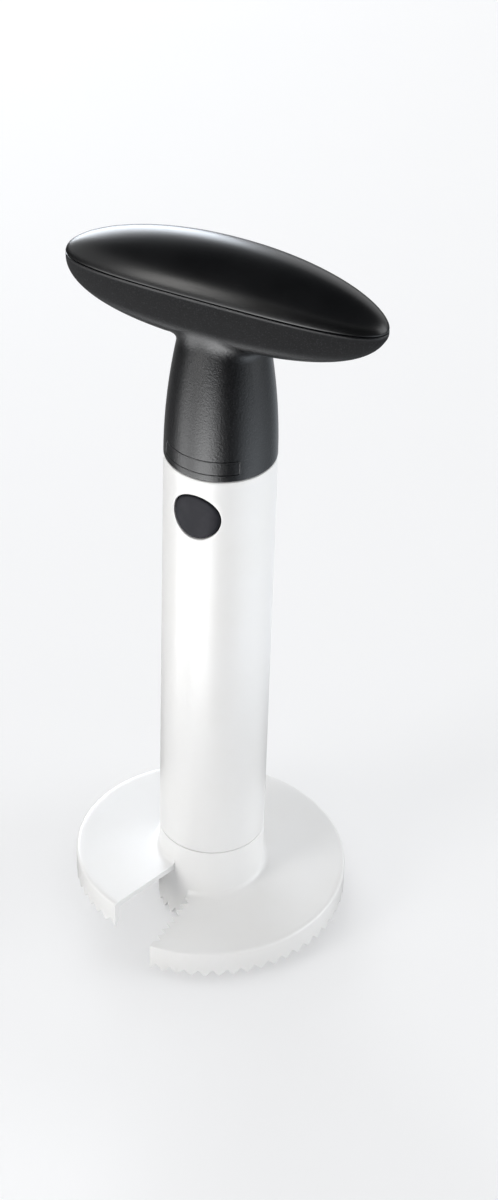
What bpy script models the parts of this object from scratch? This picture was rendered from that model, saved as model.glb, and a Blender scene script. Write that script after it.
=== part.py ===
# Pineapple slicer: a T-grip on a latched plug, a long tube, and a one-turn spiral cutter with toothed edges.
# Metres, +Z up. The origin is on the tube's axis, at the tips of the corer's teeth.

import math

import bmesh
import bpy

# Tube and general clearances
TUBE_OUTER_RADIUS = 0.0170
TUBE_WALL = 0.0020
RIM_HEIGHT = 0.1750
CLEARANCE = 0.0003
OVERRUN = 0.0020
EDGE_ROUND = 0.0008
HALF_STEP = 0.5
MERGE_DISTANCE = 0.00001
TUBE_STEPS = 72
BORE_STEPS = 40

# T-grip: two half shells that meet at a seam, and the neck under them
GRIP_LENGTH = 0.1014
GRIP_WIDTH = 0.0292
CROWN_HEIGHT = 0.0112
BELLY_DEPTH = 0.0176
SEAM_DROOP = 0.0036
GRIP_WALL = 0.0025
LIP_HEIGHT = 0.0008
PLAN_POWER = 2.15
LENGTH_POWER = 2.10
CROWN_POWER = 1.90
BELLY_POWER = 3.50
GRIP_STEPS = 64
GRIP_RINGS = 9
CAVITY_STEPS = 36
CAVITY_RINGS = 5
FLAT_SHARES = (0, 0.5)

NECK_LENGTH = 0.0409
NECK_TAPER = 0.0040
NECK_WALL = 0.0024
NECK_FOOT_WALL = 0.0034
NECK_BLEND = 0.0042
WEB_HEIGHT = 0.0240
WEB_THICKNESS = 0.0025
NECK_SHARES = (0.3, 0.55, 0.8, 1)
BLEND_SHARES = (0.25, 0.5, 0.75, 1)
BELLY_SHARES = (0.16, 0.34, 0.52, 0.68, 0.82, 0.92, 1)
LINE_STEPS = 60
SOLVE_STEPS = 40

# Screws that clamp plug, neck and cover together
SCREW_LENGTH = 0.0400
SCREW_SHANK_RADIUS = 0.0014
SCREW_HEAD_RADIUS = 0.0025
SCREW_HEAD_HEIGHT = 0.0018
SCREW_TIP = 0.0020
SCREW_SLOT_WIDTH = 0.0008
SCREW_SLOT_DEPTH = 0.0010
SCREW_WALL_GAP = 0.0008
SCREW_CLIP_GAP = 0.0010
BOSS_WALL = 0.0016
COLUMN_DROP = 0.0060
SCREW_STEPS = 16

# Hollow plug under the neck
PLUG_LENGTH = 0.0300
PLUG_WALL = 0.0020
PLUG_PLATE = 0.0024
PLUG_HOLE_GAP = 0.0008
PEG_SHARE = 0.44
PEG_LENGTH = 0.0030

# Spring clip with its two round buttons
BUTTON_DROP = 0.0138
WINDOW_RADIUS = 0.00775
BUTTON_GAP = 0.0004
BUTTON_EDGE = 0.0005
BUTTON_FACE_WALL = 0.0020
COLLAR_OVERLAP = 0.00145
COLLAR_EDGE = 0.0013
ARM_THICKNESS = 0.0015
CLIP_LEG = 0.0035
CLIP_BEND = 0.0025
BEND_STEPS = 5
BUTTON_STEPS = 32
FACE_SHARES = (0.7, 0.4)

# Spiral cutter: helicoid blade, skirt and toothed corer ring
SLICE_PITCH = 0.0110
BLADE_RADIUS = 0.0440
BLADE_THICKNESS = 0.0020
SKIRT_HEIGHT = 0.0095
SKIRT_WALL = 0.0018
SKIRT_SHOULDER = 0.0010
SKIRT_TOOTH = 0.0022
SKIRT_BEVEL = 0.0024
SKIRT_LIFT = 0.0020
EDGE_THICKNESS = 0.0005
TIP_THICKNESS = 0.0006
HUB_FILLET = 0.0020
WEDGE_STEPS = 6
TEETH_PER_TURN = 60
SLIT_TEETH = 3
LEADING_ANGLE = math.radians(-90)
LEADING_TEETH = 7
LEADING_TOOTH = 0.0020
LEADING_LAND = 0.0002
CORER_TEETH = 28
CORER_TOOTH = 0.0030
CORER_BEVEL = 0.0045
SOCKET_DEPTH = 0.0060
SOCKET_STEP = 0.0010
LAND_SHARE = 0.14
VALLEY_SHARE = 0.57

# Sizes that follow from the ones above
TUBE_INNER_RADIUS = TUBE_OUTER_RADIUS - TUBE_WALL
SEAM_HEIGHT = NECK_LENGTH + BELLY_DEPTH
NECK_WAIST_RADIUS = TUBE_OUTER_RADIUS - NECK_TAPER
NECK_BORE_RADIUS = TUBE_OUTER_RADIUS - NECK_FOOT_WALL
PLUG_RADIUS = TUBE_INNER_RADIUS - CLEARANCE
PLUG_NECK_RADIUS = NECK_BORE_RADIUS - CLEARANCE
PLUG_TOP = WEB_HEIGHT - CLEARANCE
PLATE_UNDERSIDE = PLUG_TOP - PLUG_PLATE
SCREW_SEAT = PLATE_UNDERSIDE - CLEARANCE
SCREW_HOLE_RADIUS = SCREW_SHANK_RADIUS + CLEARANCE
SCREW_OFFSET = PLUG_NECK_RADIUS - PLUG_WALL - SCREW_WALL_GAP - SCREW_HEAD_RADIUS
BOSS_RADIUS = SCREW_HOLE_RADIUS + BOSS_WALL
COLUMN_TOP = SEAM_HEIGHT - COLUMN_DROP
BUTTON_RADIUS = WINDOW_RADIUS - BUTTON_GAP
COLLAR_RADIUS = BUTTON_RADIUS + COLLAR_OVERLAP
COLLAR_CURVE = PLUG_RADIUS - PLUG_WALL - CLEARANCE
ARM_CURVE = PLUG_NECK_RADIUS - PLUG_WALL - CLEARANCE
ARM_HALF_WIDTH = SCREW_OFFSET - SCREW_HEAD_RADIUS - SCREW_CLIP_GAP
ARM_FACE = math.sqrt(ARM_CURVE ** 2 - ARM_HALF_WIDTH ** 2)
PEG_RADIUS = ARM_HALF_WIDTH * PEG_SHARE
PIVOT_RADIUS = ARM_FACE - ARM_THICKNESS / 2
CLIP_TOP = PLATE_UNDERSIDE - CLEARANCE
PIVOT_HEIGHT = CLIP_TOP - CLIP_LEG - CLEARANCE / 2
LEADING_HEIGHT = SKIRT_LIFT + SKIRT_HEIGHT
TOOTH_STEP = math.pi / TEETH_PER_TURN
BLADE_STEPS = 2 * (TEETH_PER_TURN - SLIT_TEETH)
TRAILING_HEIGHT = LEADING_HEIGHT + SLICE_PITCH * BLADE_STEPS * TOOTH_STEP / math.tau
HUB_ROOT_RADIUS = TUBE_OUTER_RADIUS - TUBE_WALL / 2
HUB_TOP = TRAILING_HEIGHT + HUB_FILLET + SOCKET_STEP + SOCKET_DEPTH
SPIGOT_RADIUS = HUB_ROOT_RADIUS - CLEARANCE / 2
SOCKET_RADIUS = HUB_ROOT_RADIUS + CLEARANCE / 2


def clear_scene():
    for old in list(bpy.data.objects):
        bpy.data.objects.remove(old)


def new_collection(name):
    made = bpy.data.collections.new(name)
    bpy.context.scene.collection.children.link(made)
    return made


def new_material(name, color, roughness):
    made = bpy.data.materials.new(name)
    made.use_nodes = True
    shader = made.node_tree.nodes["Principled BSDF"]
    shader.inputs["Base Color"].default_value = (*color, 1)
    shader.inputs["Roughness"].default_value = roughness
    shader.inputs["Metallic"].default_value = 0
    made.diffuse_color = (*color, 1)
    return made


def new_empty(name, group, location, turn=0):
    made = bpy.data.objects.new(name, None)
    made.location = location
    made.rotation_euler.z = turn
    group.objects.link(made)
    return made


def new_object(name, mesh, group, parent, finish=None):
    made = bpy.data.objects.new(name, mesh)
    made.parent = parent
    group.objects.link(made)
    if finish:
        mesh.materials.append(finish)
    return made


def as_cutter(made):
    made.hide_render = True
    made.display_type = "WIRE"
    return made


def mesh_from(bm, name, smooth_angle=math.radians(40)):
    bmesh.ops.recalc_face_normals(bm, faces=bm.faces)
    mesh = bpy.data.meshes.new(name)
    bm.to_mesh(mesh)
    bm.free()
    mesh.shade_smooth()
    mesh.set_sharp_from_angle(angle=smooth_angle)
    return mesh


def loft_mesh(name, rings, looped=False):
    # Skins a row of rings. A ring of one point is a pole; a row that isn't looped gets its two ends capped.
    bm = bmesh.new()
    rows = [[bm.verts.new(point) for point in ring] for ring in rings]
    pairs = list(zip(rows, rows[1:]))
    if looped:
        pairs.append((rows[-1], rows[0]))
    for lower, upper in pairs:
        count = max(len(lower), len(upper))
        for i in range(count):
            j = (i + 1) % count
            corners = [row[k % len(row)] for row, k in ((lower, i), (lower, j), (upper, j), (upper, i))]
            bm.faces.new(list(dict.fromkeys(corners)))
    for end in () if looped else (rows[0], rows[-1]):
        if len(end) > 1:
            bm.faces.new(end)
    return mesh_from(bm, name)


def prism_mesh(name, outline, low, high, axis):
    # A flat outline pushed from low to high along one axis; its points lie in the two other axes, in order.
    bm = bmesh.new()
    face = bm.faces.new([bm.verts.new([*point[:axis], low, *point[axis:]]) for point in outline])
    pushed = bmesh.ops.extrude_face_region(bm, geom=[face])
    moved = [part for part in pushed["geom"] if isinstance(part, bmesh.types.BMVert)]
    shift = [0, 0, 0]
    shift[axis] = high - low
    bmesh.ops.translate(bm, vec=shift, verts=moved)
    return mesh_from(bm, name)


def box_outline(low, high):
    return [(low[0], low[1]), (high[0], low[1]), (high[0], high[1]), (low[0], high[1])]


def circle(radius, steps, middle=(0, 0)):
    turns = [math.tau * (i + HALF_STEP) / steps for i in range(steps)]
    return [(middle[0] + radius * math.cos(t), middle[1] + radius * math.sin(t)) for t in turns]


def turned_mesh(name, profile, closed):
    bm = bmesh.new()
    points = [bm.verts.new((radius, 0, height)) for radius, height in profile]
    for a, b in zip(points, points[1:]):
        bm.edges.new((a, b))
    if closed:
        bm.edges.new((points[-1], points[0]))
    mesh = bpy.data.meshes.new(name)
    bm.to_mesh(mesh)
    bm.free()
    return mesh


def turned(name, profile, steps, group, parent, finish=None, closed=True):
    # A closed profile is turned into a ring; an open one starts and ends on the axis.
    made = new_object(name, turned_mesh(name, profile, closed), group, parent, finish)
    screw = made.modifiers.new("turn", "SCREW")
    screw.angle = math.tau
    screw.steps = screw.render_steps = steps
    screw.use_merge_vertices = True
    screw.merge_threshold = MERGE_DISTANCE
    screw.use_smooth_shade = True
    return made


def boolean(target, other, operation):
    step = target.modifiers.new(operation.lower(), "BOOLEAN")
    step.operation = operation
    step.object = other
    step.solver = "EXACT"
    return target


def cut(target, other):
    return boolean(target, other, "DIFFERENCE")


def join(target, other):
    return boolean(target, other, "UNION")


def weld(made):
    step = made.modifiers.new("weld", "WELD")
    step.merge_threshold = MERGE_DISTANCE


class GripForm:
    # The T-grip's rounded form above the neck's rim, drawn in by a wall and shifted by half the seam's gap.

    def __init__(self, inset, rise):
        self.length = GRIP_LENGTH / 2 - inset
        self.width = GRIP_WIDTH / 2 - inset
        self.crown = CROWN_HEIGHT - inset
        self.belly = BELLY_DEPTH - inset
        self.rise = rise

    def half_width(self, x):
        return self.width * math.sqrt(1 - min(abs(x) / self.length, 1) ** PLAN_POWER)

    def seam(self, x):
        return SEAM_HEIGHT + self.rise - SEAM_DROOP * (2 * x / GRIP_LENGTH) ** 2

    def swell(self, x, y, power):
        half_width = self.half_width(x)
        if abs(y) >= half_width:
            return 0
        along = math.sqrt(1 - (abs(x) / self.length) ** LENGTH_POWER)
        return along * (1 - (abs(y) / half_width) ** power) ** (1 / power)

    def top(self, x, y):
        return self.seam(x) + self.crown * self.swell(x, y, CROWN_POWER)

    def bottom(self, x, y):
        return self.seam(x) - self.belly * self.swell(x, y, BELLY_POWER)

    def outline(self, turn):
        x = self.length * math.cos(turn)
        return x, math.copysign(self.half_width(x), math.sin(turn))

    def reach(self, azimuth):
        # How far the outline lies from the axis in one direction.
        near, far = 0, self.length
        for _ in range(SOLVE_STEPS):
            middle = (near + far) / 2
            inside = abs(middle * math.sin(azimuth)) < self.half_width(middle * math.cos(azimuth))
            near, far = (middle, far) if inside else (near, middle)
        return near


def dome_rings(form, height_at, steps, rings, shift=0):
    # Rings from the middle of the seam face, out to the outline, and over the dome to its pole. A hollow
    # starts past the seam face, turned by half a step to keep its corners off those of the outer form.
    phase = HALF_STEP if shift else 0
    edge = [form.outline(math.tau * (i + phase) / steps) for i in range(steps)]
    flat = [[(s * x, s * y, form.seam(s * x) + shift) for x, y in edge] for s in (*FLAT_SHARES, 1)]
    rows = [flat[0][:1], *flat[1:]]
    first = 0 if shift else 1
    for k in range(first, rings):
        s = math.cos(math.pi / 2 * k / rings)
        rows.append([(s * x, s * y, height_at(s * x, s * y)) for x, y in edge])
    rows.append([(0, 0, height_at(0, 0))])
    return rows


def neck_radius(height):
    return TUBE_OUTER_RADIUS - (TUBE_OUTER_RADIUS - NECK_WAIST_RADIUS) * (height / NECK_LENGTH) ** 2


def point_along(line, distance):
    for (r0, z0), (r1, z1) in zip(line, line[1:]):
        span = math.hypot(r1 - r0, z1 - z0)
        if distance <= span and span > 0:
            share = distance / span
            return r0 + (r1 - r0) * share, z0 + (z1 - z0) * share
        distance -= span
    return line[-1]


def junction_height(form, azimuth):
    # Where the neck's side runs into the grip's underside.
    low, high = 0, SEAM_HEIGHT
    for _ in range(SOLVE_STEPS):
        middle = (low + high) / 2
        radius = neck_radius(middle)
        below = middle < form.bottom(radius * math.cos(azimuth), radius * math.sin(azimuth))
        low, high = (middle, high) if below else (low, middle)
    return low


def underside_line(form, azimuth, start):
    span = form.reach(azimuth) - start
    radii = [start + span * (1 - (1 - i / LINE_STEPS) ** 3) for i in range(LINE_STEPS)]
    line = [(r, form.bottom(r * math.cos(azimuth), r * math.sin(azimuth))) for r in radii]
    end = start + span
    return [*line, (end, form.seam(end * math.cos(azimuth)))]


def body_point(form, azimuth, part, share):
    # One point of the lower shell's skin: up the neck, round the blend, and out along the belly to the seam.
    meet = junction_height(form, azimuth)
    neck_end = meet - NECK_BLEND
    line = underside_line(form, azimuth, neck_radius(meet))
    belly_start = point_along(line, NECK_BLEND)
    if part == "neck":
        height = EDGE_ROUND + (neck_end - EDGE_ROUND) * share
        return neck_radius(height), height
    if part == "blend":
        weights = ((1 - share) ** 2, 2 * share * (1 - share), share ** 2)
        corners = ((neck_radius(neck_end), neck_end), (neck_radius(meet), meet), belly_start)
        return tuple(sum(w * corner[k] for w, corner in zip(weights, corners)) for k in (0, 1))
    length = sum(math.hypot(b[0] - a[0], b[1] - a[1]) for a, b in zip(line, line[1:]))
    if share == 1:
        return line[-1]
    return point_along(line, NECK_BLEND + (length - NECK_BLEND) * share)


def body_rings(form):
    # Columns stand evenly round the neck and drift to an even spacing round the outline.
    rows = []
    even = [math.tau * i / GRIP_STEPS for i in range(GRIP_STEPS)]
    spread = [math.atan2(y, x) % math.tau for x, y in (form.outline(t) for t in even)]
    rim = [(TUBE_OUTER_RADIUS - EDGE_ROUND, 0), (TUBE_OUTER_RADIUS - EDGE_ROUND / 4, EDGE_ROUND / 4)]
    for radius, height in (*rim, (TUBE_OUTER_RADIUS, EDGE_ROUND)):
        rows.append([(radius * math.cos(t), radius * math.sin(t), height) for t in even])
    stations = [("neck", s, 0) for s in NECK_SHARES] + [("blend", s, 0) for s in BLEND_SHARES]
    stations += [("belly", s, s) for s in BELLY_SHARES]
    for part, share, drift in stations:
        row = []
        for a, b in zip(even, spread):
            azimuth = a + (b - a) * drift
            radius, height = body_point(form, azimuth, part, share)
            row.append((radius * math.cos(azimuth), radius * math.sin(azimuth), height))
        rows.append(row)
    edge = rows[-1]
    for s in reversed(FLAT_SHARES):
        rows.append([(s * x, s * y, form.seam(s * x)) for x, y, z in edge])
    rows[-1] = rows[-1][:1]
    return rows


def rod(name, radius, low, high, group, parent, middle=(0, 0), axis=2, steps=BORE_STEPS):
    mesh = prism_mesh(name, circle(radius, steps, middle), low, high, axis)
    return as_cutter(new_object(name, mesh, group, parent))


def thin_rod(name, radius, low, high, group, parent, x=0):
    return rod(name, radius, low, high, group, parent, (x, 0), steps=SCREW_STEPS)


def make_grip_cover(group, tools, handle, finish):
    outer = GripForm(0, CLEARANCE / 2)
    inner = GripForm(GRIP_WALL, CLEARANCE / 2 + LIP_HEIGHT)
    mesh = loft_mesh("grip_cover", dome_rings(outer, outer.top, GRIP_STEPS, GRIP_RINGS))
    cover = new_object("grip_cover", mesh, group, handle, finish)
    hollow = loft_mesh("cover_hollow", dome_rings(inner, inner.top, CAVITY_STEPS, CAVITY_RINGS, -OVERRUN))
    cut(cover, as_cutter(new_object("cover_hollow", hollow, tools, handle)))
    boss_low = COLUMN_TOP + CLEARANCE
    boss_high = SEAM_HEIGHT + CROWN_HEIGHT - GRIP_WALL / 2
    for side, x in (("left", -SCREW_OFFSET), ("right", SCREW_OFFSET)):
        join(cover, thin_rod("cover_boss_" + side, BOSS_RADIUS, boss_low, boss_high, tools, handle, x))
    screw_end = SCREW_SEAT + SCREW_LENGTH + CLEARANCE
    for side, x in (("left", -SCREW_OFFSET), ("right", SCREW_OFFSET)):
        low = boss_low - OVERRUN
        cut(cover, thin_rod("cover_pilot_" + side, SCREW_HOLE_RADIUS, low, screw_end, tools, handle, x))
    weld(cover)


def make_grip_body(group, tools, handle, finish):
    outer = GripForm(0, -CLEARANCE / 2)
    inner = GripForm(GRIP_WALL, -CLEARANCE / 2 - LIP_HEIGHT)
    body = new_object("grip_body", loft_mesh("grip_body", body_rings(outer)), group, handle, finish)
    hollow = loft_mesh("belly_hollow", dome_rings(inner, inner.bottom, CAVITY_STEPS, CAVITY_RINGS, OVERRUN))
    cut(body, as_cutter(new_object("belly_hollow", hollow, tools, handle)))
    web_top = WEB_HEIGHT + WEB_THICKNESS
    cavity_top = NECK_LENGTH + GRIP_WALL + OVERRUN
    cut(body, rod("neck_cavity", NECK_WAIST_RADIUS - NECK_WALL, web_top, cavity_top, tools, handle))
    cut(body, rod("neck_bore", NECK_BORE_RADIUS, -OVERRUN, WEB_HEIGHT, tools, handle))
    column_low = WEB_HEIGHT + WEB_THICKNESS / 2
    for side, x in (("left", -SCREW_OFFSET), ("right", SCREW_OFFSET)):
        join(body, thin_rod("column_" + side, BOSS_RADIUS, column_low, COLUMN_TOP, tools, handle, x))
    for side, x in (("left", -SCREW_OFFSET), ("right", SCREW_OFFSET)):
        low = WEB_HEIGHT - OVERRUN
        high = COLUMN_TOP + OVERRUN
        cut(body, thin_rod("column_bore_" + side, SCREW_HOLE_RADIUS, low, high, tools, handle, x))
    weld(body)


def make_screws(group, tools, handle, finish):
    head_low = SCREW_SEAT - SCREW_HEAD_HEIGHT
    profile = [
        (0, SCREW_SEAT + SCREW_LENGTH),
        (SCREW_SHANK_RADIUS / 2, SCREW_SEAT + SCREW_LENGTH),
        (SCREW_SHANK_RADIUS, SCREW_SEAT + SCREW_LENGTH - SCREW_TIP),
        (SCREW_SHANK_RADIUS, SCREW_SEAT),
        (SCREW_HEAD_RADIUS, SCREW_SEAT),
        (SCREW_HEAD_RADIUS, SCREW_SEAT - SCREW_HEAD_HEIGHT / 2),
        (SCREW_HEAD_RADIUS - SCREW_HEAD_HEIGHT / 2, head_low),
        (0, head_low),
    ]
    half = SCREW_SLOT_WIDTH / 2
    arm = SCREW_SHANK_RADIUS
    cross = [(half, half), (half, arm), (-half, arm), (-half, half), (-arm, half), (-arm, -half)]
    cross += [(-half, -half), (-half, -arm), (half, -arm), (half, -half), (arm, -half), (arm, half)]
    for side, x in (("left", -SCREW_OFFSET), ("right", SCREW_OFFSET)):
        screw = turned("handle_screw_" + side, profile, SCREW_STEPS, group, handle, finish, closed=False)
        screw.location.x = x
        recess = prism_mesh("recess_" + side, cross, head_low - OVERRUN, head_low + SCREW_SLOT_DEPTH, 2)
        recess = as_cutter(new_object("recess_" + side, recess, tools, handle))
        recess.location.x = x
        cut(screw, recess)
        weld(screw)


def make_latch_plug(group, tools, handle, finish):
    bore = PLUG_RADIUS - PLUG_WALL
    neck_bore = PLUG_NECK_RADIUS - PLUG_WALL
    profile = [
        (0, PLUG_TOP),
        (PLUG_NECK_RADIUS, PLUG_TOP),
        (PLUG_NECK_RADIUS, -CLEARANCE),
        (PLUG_RADIUS, -CLEARANCE),
        (PLUG_RADIUS, EDGE_ROUND - PLUG_LENGTH),
        (PLUG_RADIUS - EDGE_ROUND, -PLUG_LENGTH),
        (bore, -PLUG_LENGTH),
        (bore, -PLUG_WALL),
        (neck_bore, 0),
        (neck_bore, PLATE_UNDERSIDE),
        (0, PLATE_UNDERSIDE),
    ]
    plug = turned("latch_plug", profile, BORE_STEPS, group, handle, finish, closed=False)
    peg_low = PLATE_UNDERSIDE - PEG_LENGTH
    join(plug, thin_rod("clip_peg", PEG_RADIUS, peg_low, PLATE_UNDERSIDE + PLUG_PLATE / 2, tools, handle))
    hole = WINDOW_RADIUS + PLUG_HOLE_GAP - BUTTON_GAP
    reach = PLUG_RADIUS + OVERRUN
    cut(plug, rod("plug_holes", hole, -reach, reach, tools, handle, (0, -BUTTON_DROP), 1, BUTTON_STEPS))
    for side, x in (("left", -SCREW_OFFSET), ("right", SCREW_OFFSET)):
        low = PLATE_UNDERSIDE - OVERRUN
        high = PLUG_TOP + OVERRUN
        cut(plug, thin_rod("plate_bore_" + side, SCREW_HOLE_RADIUS, low, high, tools, handle, x))
    weld(plug)


def bend(middle, radius, start, end):
    turns = [start + (end - start) * i / BEND_STEPS for i in range(BEND_STEPS + 1)]
    return [(middle[0] + radius * math.cos(t), middle[1] + radius * math.sin(t)) for t in turns]


def make_clip_bridge(group, tools, handle, finish):
    side = ARM_FACE - CLIP_BEND
    top = CLIP_TOP - CLIP_BEND
    low = CLIP_TOP - CLIP_LEG
    quarter = math.pi / 2
    inner = CLIP_BEND - ARM_THICKNESS
    outline = [(ARM_FACE, low), *bend((side, top), CLIP_BEND, 0, quarter)]
    outline += [*bend((-side, top), CLIP_BEND, quarter, 2 * quarter), (-ARM_FACE, low)]
    outline += [(ARM_THICKNESS - ARM_FACE, low), *bend((-side, top), inner, 2 * quarter, quarter)]
    outline += [*bend((side, top), inner, quarter, 0), (ARM_FACE - ARM_THICKNESS, low)]
    mesh = prism_mesh("clip_bridge", outline, -ARM_HALF_WIDTH, ARM_HALF_WIDTH, 0)
    bridge = new_object("clip_bridge", mesh, group, handle, finish)
    hole = PEG_RADIUS + CLEARANCE
    cut(bridge, thin_rod("peg_hole", hole, CLIP_TOP - CLIP_LEG, CLIP_TOP + OVERRUN, tools, handle))


def saddle_rings(radius, curve, edge, back, drop):
    # A round stub along -Y with a flat back. Its face follows a drum of that curve on the tube's axis.
    turns = [math.tau * i / BUTTON_STEPS for i in range(BUTTON_STEPS)]

    def ring(r, sunk):
        face = [PIVOT_RADIUS - math.sqrt(curve ** 2 - (r * math.cos(t)) ** 2) for t in turns]
        return [(r * math.cos(t), y + sunk, drop + r * math.sin(t)) for t, y in zip(turns, face)]

    flat = [(radius * math.cos(t), back, drop + radius * math.sin(t)) for t in turns]
    rows = [flat, ring(radius, edge), ring(radius - edge / 4, edge / 4), ring(radius - edge, 0)]
    rows += [ring((radius - edge) * share, 0) for share in FACE_SHARES]
    return [*rows, [(0, PIVOT_RADIUS - curve, drop)]]


def make_button_arm(side, turn, group, tools, handle, finish):
    # Built facing -Y from the foot of the clip's bend, with the tube's axis at y = PIVOT_RADIUS.
    facing = math.cos(turn)
    pivot = new_empty("button_pivot_" + side, group, (0, -facing * PIVOT_RADIUS, PIVOT_HEIGHT), turn)
    pivot.parent = handle
    drop = -(BUTTON_DROP + PIVOT_HEIGHT)
    half_thickness = ARM_THICKNESS / 2
    back = PIVOT_RADIUS - math.sqrt(COLLAR_CURVE ** 2 - COLLAR_RADIUS ** 2) + COLLAR_EDGE

    name = "button_arm_" + side
    strip = box_outline((-ARM_HALF_WIDTH, -half_thickness), (ARM_HALF_WIDTH, half_thickness))
    arm = new_object(name, prism_mesh(name, strip, drop, -CLEARANCE / 2, 2), group, pivot, finish)
    collar = saddle_rings(COLLAR_RADIUS, COLLAR_CURVE, BUTTON_EDGE / 2, back, drop)
    button = saddle_rings(BUTTON_RADIUS, TUBE_OUTER_RADIUS, BUTTON_EDGE, 0, drop)
    for part, rings in (("collar_" + side, collar), ("button_" + side, button)):
        join(arm, as_cutter(new_object(part, loft_mesh(part, rings), tools, pivot)))
    recess = BUTTON_RADIUS - BUTTON_FACE_WALL
    low = PIVOT_RADIUS - math.sqrt(TUBE_OUTER_RADIUS ** 2 - recess ** 2) + BUTTON_FACE_WALL
    high = back + OVERRUN
    cut(arm, rod("recess_" + side, recess, low, high, tools, pivot, (0, drop), 1, BUTTON_STEPS))
    weld(arm)


def make_shaft_tube(group, tools, shaft, finish):
    top = RIM_HEIGHT - CLEARANCE
    seat = HUB_TOP + CLEARANCE
    end = seat - SOCKET_DEPTH
    bevel = EDGE_ROUND / 2
    profile = [
        (TUBE_OUTER_RADIUS - bevel, top),
        (TUBE_OUTER_RADIUS, top - bevel),
        (TUBE_OUTER_RADIUS, seat),
        (SPIGOT_RADIUS, seat),
        (SPIGOT_RADIUS, end),
        (TUBE_INNER_RADIUS, end),
        (TUBE_INNER_RADIUS, top - bevel),
        (TUBE_INNER_RADIUS + bevel, top),
    ]
    tube = turned("shaft_tube", profile, TUBE_STEPS, group, shaft, finish)
    reach = TUBE_OUTER_RADIUS + OVERRUN
    middle = (0, RIM_HEIGHT - BUTTON_DROP)
    cut(tube, rod("windows", WINDOW_RADIUS, -reach, reach, tools, shaft, middle, 1, BUTTON_STEPS))
    weld(tube)


def blade_section(step):
    # The blade's outline at one step of the turn: hub fillet, disc, and the skirt with its toothed foot.
    sharp = min(step / WEDGE_STEPS, 1)
    plate = EDGE_THICKNESS + (BLADE_THICKNESS - EDGE_THICKNESS) * sharp
    wall = EDGE_THICKNESS + (SKIRT_WALL - EDGE_THICKNESS) * sharp
    foot = -SKIRT_HEIGHT + SKIRT_TOOTH * (step % 2)
    tip = TIP_THICKNESS * wall / SKIRT_WALL
    shoulder = SKIRT_SHOULDER * wall / SKIRT_WALL
    return [
        (HUB_ROOT_RADIUS, HUB_FILLET),
        (TUBE_OUTER_RADIUS + HUB_FILLET / 2, 0),
        (BLADE_RADIUS - shoulder, 0),
        (BLADE_RADIUS, -shoulder),
        (BLADE_RADIUS, foot),
        (BLADE_RADIUS - tip, foot),
        (BLADE_RADIUS - wall, foot + SKIRT_BEVEL),
        (BLADE_RADIUS - wall, -plate),
        (HUB_ROOT_RADIUS, -plate),
    ]


def blade_rings():
    rows = []
    for step in range(BLADE_STEPS + 1):
        turn = step * TOOTH_STEP
        azimuth = LEADING_ANGLE + turn
        rise = LEADING_HEIGHT + SLICE_PITCH * turn / math.tau
        section = blade_section(step)
        rows.append([(r * math.cos(azimuth), r * math.sin(azimuth), rise + z) for r, z in section])
    return rows


def corer_edge():
    # Azimuth and height of the ring's toothed edge: a small land at each tip, then down into the valley.
    pattern = ((0, 0), (LAND_SHARE, 0), (VALLEY_SHARE, CORER_TOOTH))
    pitch = math.tau / CORER_TEETH
    first = HALF_STEP * TOOTH_STEP
    starts = [first + tooth * pitch for tooth in range(CORER_TEETH)]
    return [(start + share * pitch, height) for start in starts for share, height in pattern]


def hub_rings():
    edge = corer_edge()
    floor = HUB_TOP - SOCKET_DEPTH
    levels = [
        (TUBE_OUTER_RADIUS, HUB_TOP),
        (TUBE_OUTER_RADIUS, None),
        (TUBE_OUTER_RADIUS - TIP_THICKNESS, None),
        (TUBE_INNER_RADIUS, CORER_BEVEL),
        (TUBE_INNER_RADIUS, floor),
        (SOCKET_RADIUS, floor),
        (SOCKET_RADIUS, HUB_TOP),
    ]
    rows = []
    for radius, level in levels:
        heights = [height if level is None else level for _, height in edge]
        rows.append([(radius * math.cos(t), radius * math.sin(t), z) for (t, _), z in zip(edge, heights)])
    return rows


def leading_teeth_outline():
    # A saw line across the leading edge, which lies along -Y. It leaves each tooth a small land on that edge.
    start = TUBE_OUTER_RADIUS + HUB_FILLET
    end = BLADE_RADIUS - SKIRT_WALL - SKIRT_SHOULDER / 2
    pitch = (end - start) / LEADING_TEETH
    line = []
    for tooth in range(LEADING_TEETH):
        line.append((-LEADING_LAND, -(start + tooth * pitch)))
        line.append((LEADING_TOOTH, -(start + (tooth + HALF_STEP) * pitch)))
    line.append((-LEADING_LAND, -end))
    return [(-OVERRUN, -end), (-OVERRUN, -start), *line]


def make_cutter_head(group, tools, shaft, finish):
    head = new_object("cutter_head", loft_mesh("cutter_head", blade_rings()), group, shaft, finish)
    saw = prism_mesh("leading_saw", leading_teeth_outline(), LEADING_HEIGHT - BLADE_THICKNESS - OVERRUN,
                     LEADING_HEIGHT + OVERRUN, 2)
    cut(head, as_cutter(new_object("leading_saw", saw, tools, shaft)))
    hub = loft_mesh("hub_ring", hub_rings(), looped=True)
    join(head, as_cutter(new_object("hub_ring", hub, tools, shaft)))
    weld(head)


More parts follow.
